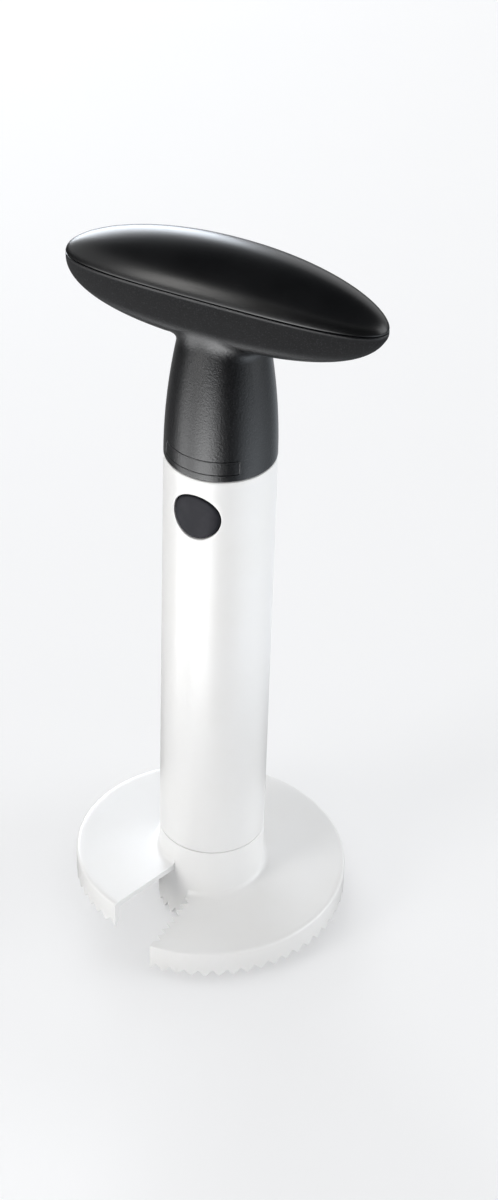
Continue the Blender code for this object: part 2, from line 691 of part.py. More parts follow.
def build():
    clear_scene()
    group = new_collection("pineapple_slicer")
    tools = new_collection("cutters")
    glossy_black = new_material("glossy_black", (0.012, 0.012, 0.013), 0.25)
    matte_black = new_material("matte_black", (0.035, 0.036, 0.038), 0.55)
    button_black = new_material("button_black", (0.045, 0.045, 0.048), 0.60)
    white_plastic = new_material("white_plastic", (0.86, 0.86, 0.85), 0.30)
    steel = new_material("screw_steel", (0.60, 0.60, 0.62), 0.35)
    steel.node_tree.nodes["Principled BSDF"].inputs["Metallic"].default_value = 1
    shaft = new_empty("shaft", group, (0, 0, 0))
    handle = new_empty("handle", group, (0, 0, RIM_HEIGHT))
    make_shaft_tube(group, tools, shaft, white_plastic)
    make_cutter_head(group, tools, shaft, white_plastic)
    make_grip_cover(group, tools, handle, glossy_black)
    make_grip_body(group, tools, handle, matte_black)
    make_latch_plug(group, tools, handle, matte_black)
    make_screws(group, tools, handle, steel)
    make_clip_bridge(group, tools, handle, button_black)
    make_button_arm("front", 0, group, tools, handle, button_black)
    make_button_arm("rear", math.pi, group, tools, handle, button_black)


build()
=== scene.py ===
import math

import bmesh
import bpy
import numpy as np
from mathutils import Matrix, Vector


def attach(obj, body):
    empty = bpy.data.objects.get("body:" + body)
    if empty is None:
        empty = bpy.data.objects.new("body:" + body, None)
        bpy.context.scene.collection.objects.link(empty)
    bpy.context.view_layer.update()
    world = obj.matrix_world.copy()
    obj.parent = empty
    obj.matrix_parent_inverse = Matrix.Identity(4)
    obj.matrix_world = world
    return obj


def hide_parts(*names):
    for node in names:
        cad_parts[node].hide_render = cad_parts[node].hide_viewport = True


# Pineapple slicer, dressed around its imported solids.
# Sizes are in millimetres and angles in degrees, heights count from the tips of the corer's teeth.
mm = 0.001
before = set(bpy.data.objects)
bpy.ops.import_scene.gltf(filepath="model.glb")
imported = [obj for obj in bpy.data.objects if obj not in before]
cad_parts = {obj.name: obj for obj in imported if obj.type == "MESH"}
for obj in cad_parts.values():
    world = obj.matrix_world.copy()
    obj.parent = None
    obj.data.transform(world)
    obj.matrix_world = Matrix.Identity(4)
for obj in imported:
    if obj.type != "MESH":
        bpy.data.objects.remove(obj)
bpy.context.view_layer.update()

tube = {
    "outer": 17.0, "inner": 15.0, "rimHeight": 175.0, "gap": 0.3,
    "windowRadius": 7.75, "windowDrop": 13.8,
}
rim = tube["rimHeight"]
windowHeight = rim - tube["windowDrop"]
# Heights of the grip, its neck and the name panel count from the rim
grip = {
    "length": 101.4, "width": 29.2, "seamHeight": 58.5, "seamDroop": 3.6, "crown": 11.2, "belly": 17.6,
    "planPower": 2.15, "lengthPower": 2.10, "crownPower": 1.90, "bellyPower": 3.50,
    "wall": 2.5, "lip": 0.8, "seamGap": 0.3, "seamRound": 0.3,
    "around": 224, "domeRings": 52, "crownHollowRings": 20, "bellyHollowRings": 24,
}
neck = {
    "length": 40.9, "waistRadius": 13.0, "boreRadius": 13.6, "webLow": 24.0, "webHigh": 26.5, "wellTop": 44.0,
    "wall": 2.4, "blend": 4.2, "rimRound": 0.35, "boreEdge": (0.3, 0),
    "neckRings": 34, "blendRings": 12, "bellyRings": 64, "ringDrift": 1.5,
    "lineSteps": 160, "lineCrowding": 3,
}
weld = 0.003 * mm
sharpBend = 32
quarterRound = np.radians([0, 22.5, 45, 67.5, 90])
midRound = 0.29  # a rounding's middle point lies this share of its radius from either side


# One node tree, written as expressions. It serves the shaders and the geometry.
class Signal:
    def __init__(self, graph, node, socket):
        self.graph, self.node, self.socket = graph, node, socket

    def out(self, name):
        return Signal(self.graph, self.node, pickSocket(self.node.outputs, name))

    def math(self, operation, *others):
        values = dict(enumerate((self, *others)))
        return self.graph.node("ShaderNodeMath", values, operation=operation)

    def __add__(self, other): return self.math("ADD", other)
    def __sub__(self, other): return self.math("SUBTRACT", other)
    def __mul__(self, other): return self.math("MULTIPLY", other)
    def __truediv__(self, other): return self.math("DIVIDE", other)
    def __mod__(self, other): return self.math("FLOORED_MODULO", other)
    def __neg__(self): return self.math("MULTIPLY", -1.0)
    def __rsub__(self, other): return self.math("MULTIPLY_ADD", -1.0, other)
    def __rtruediv__(self, other): return self.math("POWER", -1.0) * other
    __radd__ = __add__
    __rmul__ = __mul__

    def least(self, other): return self.math("MINIMUM", other)
    def most(self, other): return self.math("MAXIMUM", other)
    def size(self): return self.math("ABSOLUTE")

    def clamped(self):
        return self.graph.node("ShaderNodeClamp", {"Value": self, "Min": 0.0, "Max": 1.0})

    def step(self, low, high):
        # 0 below low, 1 above high, smooth between
        values = {"Value": self, "From Min": low, "From Max": high, "To Min": 0.0, "To Max": 1.0}
        return self.graph.node("ShaderNodeMapRange", values, interpolation_type="SMOOTHSTEP")


def pickSocket(sockets, key):
    if isinstance(key, int):
        return sockets[key]
    return next(s for s in sockets if s.name == key and s.enabled)


class Graph:
    def __init__(self, tree):
        self.tree = tree

    def node(self, kind, values=None, **settings):
        made = self.tree.nodes.new(kind)
        for name, setting in settings.items():
            setattr(made, name, setting)
        self.feed(made, values or {})
        shown = [s for s in made.outputs if s.enabled]
        return Signal(self, made, shown[0] if shown else None)

    def feed(self, node, values):
        for key, value in values.items():
            socket = pickSocket(node.inputs, key)
            if isinstance(value, Signal):
                self.tree.links.new(value.socket, socket)
            else:
                socket.default_value = value

    def mixColors(self, factor, first, second, blend="MIX"):
        values = {"Factor": factor, "A": first, "B": second}
        return self.node("ShaderNodeMix", values, data_type="RGBA", blend_type=blend)

    def parts(self, vector):
        apart = self.node("ShaderNodeSeparateXYZ", {"Vector": vector})
        return [apart.out(axis) for axis in "XYZ"]


# Meshes are patches of points, rows by columns by three, that share their borders

def asPatch(rows):
    # Each row ends with its first point again, so that the patch closes
    patch = np.stack(rows)
    return np.concatenate([patch, patch[:, :1]], 1)


def evenTurns(count):
    return np.arange(count) * math.tau / count


def rounded(radius, turns=quarterRound):
    # How far a rounding's points lie from the two sides that it joins
    return [(radius * (1 - math.sin(t)), radius * (1 - math.cos(t))) for t in turns]


def turned(*corners):
    # A line of level and upright sides. Each corner is a radius, a height and perhaps its broken edge,
    # as a size and how far in the edge's middle lies, 0 for a bevel.
    line = []
    for before, corner, after in zip((None, *corners), corners, (*corners[1:], None)):
        if len(corner) == 2:
            line.append(corner)
            continue
        point, (size, mid) = np.array(corner[:2]), corner[2]
        back, ahead = (np.sign(np.array(other[:2]) - point) for other in (before, after))
        ways = [back * size, (back + ahead) * mid, ahead * size]
        line += [point + way for way in (ways if mid else ways[::2])]
    return line


def newMesh(name, points, faces):
    mesh = bpy.data.meshes.new(name)
    mesh.from_pydata(points, [], faces)
    return mesh


def addObject(name, data):
    made = bpy.data.objects.new(name, data)
    bpy.context.scene.collection.objects.link(made)
    return made


def pieceFromMesh(name, mesh, bend=sharpBend, parts=()):
    bm = bmesh.new()
    for part in parts or [mesh]:
        bm.from_mesh(part)
    bmesh.ops.remove_doubles(bm, verts=bm.verts, dist=weld)
    bmesh.ops.recalc_face_normals(bm, faces=bm.faces)
    bm.to_mesh(mesh)
    bm.free()
    mesh.shade_smooth()
    mesh.set_sharp_from_angle(angle=math.radians(bend))
    print(name, len(mesh.polygons), "faces")
    return addObject(name, mesh)


def pieceFromPatches(name, patches, bend=sharpBend):
    points, quads, first = [], [], 0
    for patch in patches:
        rows, columns = patch.shape[:2]
        index = first + np.arange(rows * columns).reshape(rows, columns)
        corners = [index[:-1, :-1], index[:-1, 1:], index[1:, 1:], index[1:, :-1]]
        quads.append(np.stack(corners, -1).reshape(-1, 4))
        points.append(patch.reshape(-1, 3))
        first += rows * columns
    mesh = newMesh(name, (np.concatenate(points) * mm).tolist(), np.concatenate(quads).tolist())
    return pieceFromMesh(name, mesh, bend)


def paint(piece, finish):
    piece.data.materials.clear()
    piece.data.materials.append(finish)


def dress(piece, body, slot, finish, *nodes):
    paint(piece, finish)
    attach(piece, body)
    if nodes:
        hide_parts(*nodes)


# Finishes

def newMaterial(name):
    made = bpy.data.materials.new(name)
    made.use_nodes = True
    graph = Graph(made.node_tree)
    return made, graph, made.node_tree.nodes["Principled BSDF"]


def objectPoint(graph):
    return graph.node("ShaderNodeTexCoord").out("Object")


def newFinish(name, look):
    material, graph, shader = newMaterial(name)
    graph.feed(shader, {"Specular IOR Level": look["shine"]})
    return material, graph, shader, objectPoint(graph)


def stretched(graph, point, scale):
    return graph.node("ShaderNodeMapping", {"Vector": point, "Scale": scale})


def noiseAt(graph, point, grainMm, detail=2.0, roughness=0.5):
    return graph.node("ShaderNodeTexNoise", {
        "Vector": point, "Scale": 1 / (grainMm * mm), "Detail": detail, "Roughness": roughness})


def tint(graph, shader, mask, first, second):
    graph.feed(shader, {"Base Color": graph.mixColors(mask, (*first, 1), (*second, 1))})


def roughen(graph, shader, rough, height, strength, depthMm):
    values = {"Height": height, "Strength": strength, "Distance": depthMm * mm}
    graph.feed(shader, {"Roughness": rough, "Normal": graph.node("ShaderNodeBump", values)})


# A mask is a pair: the noise level at which it begins and the one at which it is full
coverLook = {
    "color": (0.0035, 0.0036, 0.0040), "cloudColor": (0.0060, 0.0062, 0.0068), "shine": 0.36,
    "roughness": 0.285, "cloudRough": 0.05, "lineRough": 0.06, "cloudMm": 14.0, "cloudMask": (0.35, 0.75),
    "reliefMm": 1.6, "reliefDetail": 1.0, "reliefDepthMm": 0.006, "reliefStrength": 0.5,
    "lineMm": 0.5, "lineDetail": 2.0, "lineStretch": (0.04, 1.0, 1.0), "lineMask": (0.60, 0.74),
}
whiteLook = {
    "color": (0.870, 0.872, 0.868), "cloudColor": (0.852, 0.850, 0.838), "shine": 0.5,
    "roughness": 0.295, "cloudRough": 0.04, "lineRough": 0.07, "cloudMm": 26.0, "cloudMask": (0.35, 0.8),
    "reliefMm": 5.0, "reliefDetail": 2.0, "reliefDepthMm": 0.010, "reliefStrength": 0.5,
    "lineMm": 0.8, "lineDetail": 3.0, "lineStretch": (1.0, 1.0, 0.03), "lineMask": (0.62, 0.78),
}


def makeGlossy(name, look):
    # Polished plastic: an orange peel or slow ripples from the mould, flow clouds and hairlines from wiping
    material, graph, shader, point = newFinish(name, look)
    cloud = noiseAt(graph, point, look["cloudMm"], detail=3.0)
    relief = noiseAt(graph, point, look["reliefMm"], look["reliefDetail"])
    along = stretched(graph, point, look["lineStretch"])
    line = noiseAt(graph, along, look["lineMm"], look["lineDetail"]).step(*look["lineMask"])
    tint(graph, shader, cloud.step(*look["cloudMask"]), look["color"], look["cloudColor"])
    rough = look["roughness"] + cloud * look["cloudRough"] + line * look["lineRough"]
    roughen(graph, shader, rough, relief, look["reliefStrength"], look["reliefDepthMm"])
    return material


gripLook = {
    "color": (0.0036, 0.0038, 0.0046), "fleckColor": (0.017, 0.0175, 0.0200), "shine": 0.48,
    "roughness": 0.28, "cloudRough": 0.05, "grainRough": 0.04,
    "bellyRoughness": 0.92, "bellyFrom": 44.5, "bellyTo": 49.0,
    "lipRoughness": 0.30, "lipFrom": 0.3, "lipTo": 1.3,
    "cloudMm": 9.0, "fineMm": 0.42, "fleckMask": (0.56, 0.72), "fleckLeast": 0.35, "fleckCloud": 0.9,
    "grainMm": 0.80, "grainDetail": 4.0, "grainBite": 0.65,
    "grainShare": 0.65, "fineShare": 0.35, "grainDepthMm": 0.17, "grainStrength": 0.66,
}


def makeGripMatte(look):
    # Spark-eroded black plastic with a fine grain and pale flecks, smoother on the neck and on the seam's lip
    material, graph, shader, point = newFinish("gripMatte", look)
    cloud = noiseAt(graph, point, look["cloudMm"], detail=3.0)
    grain = noiseAt(graph, point, look["grainMm"], look["grainDetail"], look["grainBite"])
    fine = noiseAt(graph, point, look["fineMm"], detail=1.0)
    fleck = fine.step(*look["fleckMask"]) * (look["fleckLeast"] + cloud * look["fleckCloud"])
    tint(graph, shader, fleck.clamped(), look["color"], look["fleckColor"])
    along, _, up = graph.parts(point)
    x, height = along / (grip["length"] / 2 * mm), up / mm - rim
    onBelly = height.step(look["bellyFrom"], look["bellyTo"])
    underSeam = grip["seamHeight"] - x * x * grip["seamDroop"] - height
    offLip = underSeam.step(look["lipFrom"], look["lipTo"])
    matte = look["lipRoughness"] + offLip * (look["bellyRoughness"] - look["lipRoughness"])
    base = look["roughness"] + onBelly * (matte - look["roughness"])
    rough = base + cloud * look["cloudRough"] + grain * look["grainRough"]
    relief = grain * look["grainShare"] + fine * look["fineShare"]
    roughen(graph, shader, rough, relief, look["grainStrength"], look["grainDepthMm"])
    return material


buttonLook = {
    "color": (0.0125, 0.0125, 0.0165), "cloudColor": (0.019, 0.019, 0.024), "shine": 0.11,
    "roughness": 0.48, "cloudPolish": 0.10, "grainRough": 0.08,
    "cloudMm": 5.0, "cloudMask": (0.3, 0.8), "grainMm": 0.30, "grainDepthMm": 0.02, "grainStrength": 0.4,
}


def makeButtonSatin(look):
    # Dark grey springy plastic with a satin face that fingers have polished a little
    material, graph, shader, point = newFinish("buttonSatin", look)
    cloud = noiseAt(graph, point, look["cloudMm"])
    grain = noiseAt(graph, point, look["grainMm"])
    tint(graph, shader, cloud.step(*look["cloudMask"]), look["color"], look["cloudColor"])
    rough = look["roughness"] - cloud * look["cloudPolish"] + grain * look["grainRough"]
    roughen(graph, shader, rough, grain, look["grainStrength"], look["grainDepthMm"])
    return material


steelLook = {
    "color": (0.56, 0.57, 0.59), "stainColor": (0.42, 0.41, 0.38), "shine": 0.5,
    "roughness": 0.30, "markRough": 0.12, "dullRough": 0.15, "dullMm": 3.0, "dullMask": (0.45, 0.8),
    "markMm": 0.25, "markStretch": (0.2, 0.2, 2.0), "markDepthMm": 0.01, "markStrength": 0.4,
}


def makeZincSteel(look):
    # Zinc-plated steel with turning marks and a little dulling
    material, graph, shader, point = newFinish("zincSteel", look)
    marks = noiseAt(graph, stretched(graph, point, look["markStretch"]), look["markMm"], detail=3.0)
    dull = noiseAt(graph, point, look["dullMm"], detail=3.0).step(*look["dullMask"])
    graph.feed(shader, {"Metallic": 1.0})
    tint(graph, shader, dull, look["color"], look["stainColor"])
    rough = look["roughness"] + marks * look["markRough"] + dull * look["dullRough"]
    roughen(graph, shader, rough, marks, look["markStrength"], look["markDepthMm"])
    return material


coverGloss = makeGlossy("coverGloss", coverLook)
gripMatte = makeGripMatte(gripLook)
buttonSatin = makeButtonSatin(buttonLook)
whiteAbs = makeGlossy("whiteAbs", whiteLook)
zincSteel = makeZincSteel(steelLook)
print("finishes: 5")


# Grip: two shells that meet at a drooping seam, and the neck that grows out of the lower one

def lengthShare(x, inset):
    return np.minimum(np.abs(x) / (grip["length"] / 2 - inset), 1)


def halfWidth(x, inset=0.0):
    return (grip["width"] / 2 - inset) * np.sqrt(1 - lengthShare(x, inset) ** grip["planPower"])


def seamAt(x):
    return grip["seamHeight"] - grip["seamDroop"] * (2 * x / grip["length"]) ** 2


def swellAt(x, y, power, inset):
    across = np.minimum(np.abs(y) / np.maximum(halfWidth(x, inset), 1e-9), 1)
    along = lengthShare(x, inset)
    return np.sqrt(1 - along ** grip["lengthPower"]) * (1 - across ** power) ** (1 / power)


def crownAt(x, y, inset=0.0):
    return seamAt(x) + (grip["crown"] - inset) * swellAt(x, y, grip["crownPower"], inset)


def bellyAt(x, y, inset=0.0):
    return seamAt(x) - (grip["belly"] - inset) * swellAt(x, y, grip["bellyPower"], inset)


def outlineOf(inset=0.0):
    turn = evenTurns(grip["around"])
    x = (grip["length"] / 2 - inset) * np.cos(turn)
    return x, np.copysign(halfWidth(x, inset), np.sin(turn))


def insetOutline(amount):
    # The outline drawn in square to itself
    x, y = outlineOf()
    dx, dy = (np.roll(v, -1) - np.roll(v, 1) for v in (x, y))
    size = np.hypot(dx, dy)
    return x - amount * dy / size, y + amount * dx / size


def row(x, y, height):
    return np.stack([x, y, np.broadcast_to(rim + height, x.shape)], -1)


def domeRows(heightAt, inset, shift, rings):
    # From just off the seam to the pole
    x, y = outlineOf(inset)
    shares = np.cos(math.pi / 2 * np.arange(1, rings + 1) / rings)
    return [row(s * x, s * y, heightAt(s * x, s * y, inset) + shift) for s in shares]


def innerRows(heightAt, side, rings):
    # From the seam's small rounded edge over its flat land and the lip to the hollow's pole
    shift, lift, corner = (side * part for part in (grip["seamGap"] / 2, grip["lip"], grip["seamRound"]))
    rows = []
    for inset, share in ((midRound, midRound), (1.0, 0.0)):
        x, y = insetOutline(inset * grip["seamRound"])
        rows.append(row(x, y, seamAt(x) + shift + corner * share))
    x, y = outlineOf(grip["wall"])
    rows += [row(x, y, seamAt(x) + shift), row(x, y, seamAt(x) + shift + lift)]
    return rows + domeRows(heightAt, grip["wall"], shift + lift, rings)


def makeGripCover():
    rows = innerRows(crownAt, 1, grip["crownHollowRings"])[::-1]
    rows += domeRows(crownAt, 0.0, grip["seamGap"] / 2, grip["domeRings"])
    cover = pieceFromPatches("gripCover", [asPatch(rows)])
    dress(cover, "handle", "cover_gloss", coverGloss, "grip_cover")


def neckRadius(height):
    return tube["outer"] - (tube["outer"] - neck["waistRadius"]) * (height / neck["length"]) ** 2


def halved(low, high, isLow, times=36):
    for _ in range(times):
        middle = (low + high) / 2
        below = isLow(middle)
        low, high = np.where(below, middle, low), np.where(below, high, middle)
    return low


def meetHeight(azimuth):
    # Where the neck's side runs into the belly
    def isLow(height):
        radius = neckRadius(height)
        return height < bellyAt(radius * np.cos(azimuth), radius * np.sin(azimuth))
    return halved(0.0, grip["seamHeight"], isLow)


def outlineReach(azimuth):
    def isLow(radius):
        return np.abs(radius * np.sin(azimuth)) < halfWidth(radius * np.cos(azimuth))
    return halved(0.0, grip["length"] / 2, isLow)


def bellyLine(azimuth):
    # Radius, height and running length of the belly's line in each direction
    start = neckRadius(meetHeight(azimuth))
    share = 1 - (1 - np.linspace(0, 1, neck["lineSteps"] + 1)) ** neck["lineCrowding"]
    radius = start[:, None] + (outlineReach(azimuth) - start)[:, None] * share
    x, y = radius * np.cos(azimuth)[:, None], radius * np.sin(azimuth)[:, None]
    height = bellyAt(x, y)
    height[:, -1] = seamAt(x[:, -1])
    steps = np.hypot(np.diff(radius), np.diff(height))
    return radius, height, np.concatenate([np.zeros((len(azimuth), 1)), np.cumsum(steps, 1)], 1)


def alongLine(line, distance):
    radius, height, length = line
    pairs = [(np.interp(d, n, r), np.interp(d, n, h)) for d, n, r, h in zip(distance, length, radius, height)]
    return np.array(pairs).T


def polarRow(azimuth, radius, height):
    return row(radius * np.cos(azimuth), radius * np.sin(azimuth), height)


def circleRows(azimuth, line):
    return [polarRow(azimuth, radius, height) for radius, height in line]


def neckAndBlendRows(even):
    meet = meetHeight(even)
    neckEnd = meet - neck["blend"]
    shares = np.linspace(0, 1, neck["neckRings"])
    heights = [neck["rimRound"] + (neckEnd - neck["rimRound"]) * share for share in shares]
    rows = [polarRow(even, neckRadius(height), height) for height in heights]
    low, corner = (np.array([neckRadius(height), height]) for height in (neckEnd, meet))
    high = alongLine(bellyLine(even), np.full_like(even, neck["blend"]))
    for share in np.linspace(0, 1, neck["blendRings"] + 1)[1:]:
        point = (1 - share) ** 2 * low + 2 * share * (1 - share) * corner + share ** 2 * high
        rows.append(polarRow(even, *point))
    return rows


def bellyRows(even):
    # The columns drift from an even spacing round the neck to that of the outline
    x, y = outlineOf()
    spread = np.arctan2(y, x) % math.tau
    rows = []
    for share in 1 - (1 - np.linspace(0, 1, neck["bellyRings"] + 1)[1:-1]) ** neck["ringDrift"]:
        azimuth = even + (spread - even) * share
        line = bellyLine(azimuth)
        full = line[2][:, -1] - grip["seamRound"]
        rows.append(polarRow(azimuth, *alongLine(line, neck["blend"] + (full - neck["blend"]) * share)))
    line = bellyLine(spread)
    rows.append(polarRow(spread, *alongLine(line, line[2][:, -1] - grip["seamRound"])))
    return [r - (0, 0, grip["seamGap"] / 2 * i / len(rows)) for i, r in enumerate(rows, 1)]


def makeGripBody():
    even = evenTurns(grip["around"])
    bore, edge, low, high = neck["boreRadius"], neck["boreEdge"], neck["webLow"], neck["webHigh"]
    outside = [(tube["outer"] - out, up) for up, out in rounded(neck["rimRound"])[:0:-1]]
    foot = [*turned((0, low), (bore, low, edge), (bore, 0, edge), outside[0]), *outside[1:]]
    rows = circleRows(even, foot) + neckAndBlendRows(even) + bellyRows(even)
    inside = innerRows(bellyAt, -1, grip["bellyHollowRings"])
    well = neck["waistRadius"] - neck["wall"]
    rows += [r for r in inside if np.hypot(r[:, 0], r[:, 1]).min() > well]
    rows += circleRows(even, [(well, neck["wellTop"]), (well, high), (0, high)])
    body = pieceFromPatches("gripBody", [asPatch(rows)])
    dress(body, "handle", "grip_matte", gripMatte, "grip_body")


makeGripCover()
makeGripBody()

panel = {
    "halfAngle": 45.0, "low": 2.2, "high": 6.7, "corner": 0.7, "beadWidth": 0.44, "beadHeight": 0.30,
    "beadPoints": 12, "cornerPoints": 7, "sidePoints": (46, 5, 46, 5), "sharpBend": 60,
}


def panelLoop(outset, lift):
    # One line round the bare name panel: a rectangle with round corners, wrapped round the neck's foot
    corner = panel["corner"] + outset
    wide = tube["outer"] * math.radians(panel["halfAngle"]) - panel["corner"]
    high = (panel["high"] - panel["low"]) / 2 - panel["corner"]
    turns = np.linspace(0, math.pi / 2, panel["cornerPoints"])
    centres = np.array([(1, 1), (-1, 1), (-1, -1), (1, -1)]) * (wide, high)
    pieces = []
    for quarter, count in enumerate(panel["sidePoints"]):
        arc = turns + quarter * math.pi / 2
        arms = np.stack([np.cos(arc), np.sin(arc)], -1) * corner
        shares = np.linspace(0, 1, count + 2)[1:-1, None]
        step = centres[(quarter + 1) % 4] - centres[quarter]
        pieces += [centres[quarter] + arms, centres[quarter] + arms[-1] + step * shares]
    along, height = np.concatenate(pieces).T
    height = height + (panel["high"] + panel["low"]) / 2
    radius = neckRadius(height) + lift
    turn = along / tube["outer"]
    return np.stack([radius * np.sin(turn), -radius * np.cos(turn), rim + height], -1)


def makePanelFrame():
    across, out = panel["beadWidth"] / 2, panel["beadHeight"] / 2
    turns = np.linspace(0, math.tau, panel["beadPoints"] + 1)
    rows = [panelLoop(across * math.cos(t), out * math.sin(t)) for t in turns]
    bead = pieceFromPatches("panelFrame", [asPatch(rows)], panel["sharpBend"])
    dress(bead, "handle", "grip_matte", gripMatte)


makePanelFrame()


# Walls with a round window in front and one behind: the tube, and the plug inside it

def onDrum(x, height, radius, side):
    return np.stack([x, side * np.sqrt(radius ** 2 - x ** 2), height], -1)


def wallLoop(wall, radius, height):
    # Once round at one height: even in x across each window's strip, even in azimuth on the two flanks
    half = wall["strip"] * min(1, radius / wall["inner"])
    x = half * np.linspace(-1, 1, wall["stripSteps"] + 1)
    edge = math.acos(half / radius) if radius else 0
    turn = np.linspace(-edge, edge, wall["flankSteps"] + 1)[1:]
    front = np.stack([x, -np.sqrt(radius ** 2 - x ** 2)], -1)
    flank = radius * np.stack([np.cos(turn), np.sin(turn)], -1)
    flat = np.concatenate([front, flank])
    flat = np.concatenate([flat[:-1], -flat[:-1]])
    return np.concatenate([flat, np.full((len(flat), 1), height)], 1)


def windowPatch(wall, side, squareRings=8):
    # From the square round the window, over its outer lip, through the wall and out to the square inside
    steps, half, hole, lip = wall["stripSteps"], wall["strip"], wall["hole"], wall["lip"]
    even, one = np.linspace(-1, 1, steps + 1)[:-1], np.ones(steps)
    edges = ((even, -one), (one, even), (-even, one), (-one, -even))
    square = np.concatenate([np.stack(edge, -1) for edge in edges])
    # The circle, too, begins at the lower left corner
    turn = math.radians(-135) + evenTurns(4 * steps)
    circle = np.stack([np.cos(turn), np.sin(turn)], -1)
    shares = np.linspace(1, 0, squareRings + 1)[:-1]
    rings = [((hole + lip) * circle * (1 - s) + half * square * s, 0) for s in shares]
    rings += [((hole + out) * circle, depth) for out, depth in rounded(lip)]
    levels = [(p, wall["outer"] - depth) for p, depth in rings]
    levels += [(p, wall["inner"] + depth) for p, depth in rings[::-1]]
    return asPatch([onDrum(p[:, 0], wall["middle"] + p[:, 1], radius, side) for p, radius in levels])


def bandOf(wall):
    # The heights between which the windows lie
    return wall["middle"] - wall["strip"], wall["middle"] + wall["strip"]


def windowedWall(name, wall, lines):
    # Each line runs from a band's edge over an end of the wall: radius and height, point by point
    heights = np.linspace(*bandOf(wall), wall["stripSteps"] + 1)
    patches = [asPatch([wallLoop(wall, *point) for point in line]) for line in lines]
    for radius in (wall["outer"], wall["inner"]):
        loops = np.stack([wallLoop(wall, radius, h) for h in heights])
        flank = loops[:, wall["stripSteps"]:wall["stripSteps"] + wall["flankSteps"] + 1]
        patches += [flank, flank * (-1, -1, 1)]
    patches += [windowPatch(wall, -1), windowPatch(wall, 1)]
    return pieceFromPatches(name, patches)


shaft = {
    "outer": tube["outer"], "inner": tube["inner"], "middle": windowHeight, "hole": tube["windowRadius"],
    "lip": 0.35, "strip": 12.5, "stripSteps": 26, "flankSteps": 30, "seat": 31.25, "foot": 25.25,
    "spigotRadius": 15.85, "spigotEdge": (0.2, 0), "boreEdge": (0.3, 0),
    "rimEdge": (0.4, 0.12), "seatEdge": (0.25, 0.07),
}


def makeShaftTube():
    top, seat, foot, spigot = rim - tube["gap"], shaft["seat"], shaft["foot"], shaft["spigotRadius"]
    inner, outer, edge = shaft["inner"], shaft["outer"], shaft["rimEdge"]
    low, high = bandOf(shaft)
    over = turned((outer, high), (outer, top, edge), (inner, top, edge), (inner, high))
    under = turned(
        (inner, low), (inner, foot, shaft["boreEdge"]), (spigot, foot, shaft["spigotEdge"]), (spigot, seat),
        (outer, seat, shaft["seatEdge"]), (outer, low))
    made = windowedWall("shaftTube", shaft, [over, under])
    dress(made, "shaft", "white_plastic", whiteAbs, "shaft_tube")


plug = {
    "outer": 14.7, "inner": 12.7, "middle": windowHeight, "hole": 8.15, "lip": 0.25,
    "strip": 10.6, "stripSteps": 24, "flankSteps": 24, "shoulderEdge": (0.25, 0),
    "neckRadius": 13.3, "neckBore": 11.3, "boreTaper": 2.0, "boreEdge": (0.3, 0), "top": 198.7,
    "topEdge": (0.4, 0), "plateLow": 196.3, "pegRadius": 1.98, "pegLow": 193.3, "pegEdge": (0.3, 0),
    "foot": 145.0, "footEdge": (0.8, 0.23), "footBevel": (0.2, 0),
}


def makeLatchPlug():
    outer, inner, thin, bore = plug["outer"], plug["inner"], plug["neckRadius"], plug["neckBore"]
    shoulder, top, plate, foot = rim - tube["gap"], plug["top"], plug["plateLow"], plug["foot"]
    low, high = bandOf(plug)
    peg, pegLow = plug["pegRadius"], plug["pegLow"]
    over = turned(
        (outer, high), (outer, shoulder, plug["shoulderEdge"]), (thin, shoulder),
        (thin, top, plug["topEdge"]), (0, top))
    inside = turned(
        (0, pegLow), (peg, pegLow, plug["pegEdge"]), (peg, plate), (bore, plate, plug["boreEdge"]),
        (bore, rim), (inner, rim - plug["boreTaper"]), (inner, high))
    under = turned(
        (inner, low), (inner, foot, plug["footBevel"]), (outer, foot, plug["footEdge"]), (outer, low))
    made = windowedWall("latchPlug", plug, [over, inside, under])
    dress(made, "handle", "grip_matte", gripMatte, "latch_plug")


makeShaftTube()
makeLatchPlug()


# Spring clip: two arms with a round button each

clip = {
    "buttonRadius": 7.35, "buttonEdge": 0.5, "buttonFoot": (0.2, 0), "faceCurve": 17.0,
    "faceShares": (0.85, 0.65, 0.45, 0.25, 0), "collarRadius": 8.8, "collarCurve": 12.4, "collarBack": -7.436,
    "collarEdge": (0.25, 0.08), "backEdge": (0.15, 0),
    "recessRadius": 5.35, "recessFloor": -14.136, "recessEdge": (0.3, 0),
    "armHalf": 4.5, "armFace": -10.037, "armBack": -8.537, "armTop": 192.2, "armLow": 6.2,
    "armRound": 0.35, "armPoints": 16, "armEndDrop": 0.3, "armEndShare": 0.97, "steps": 96,
}


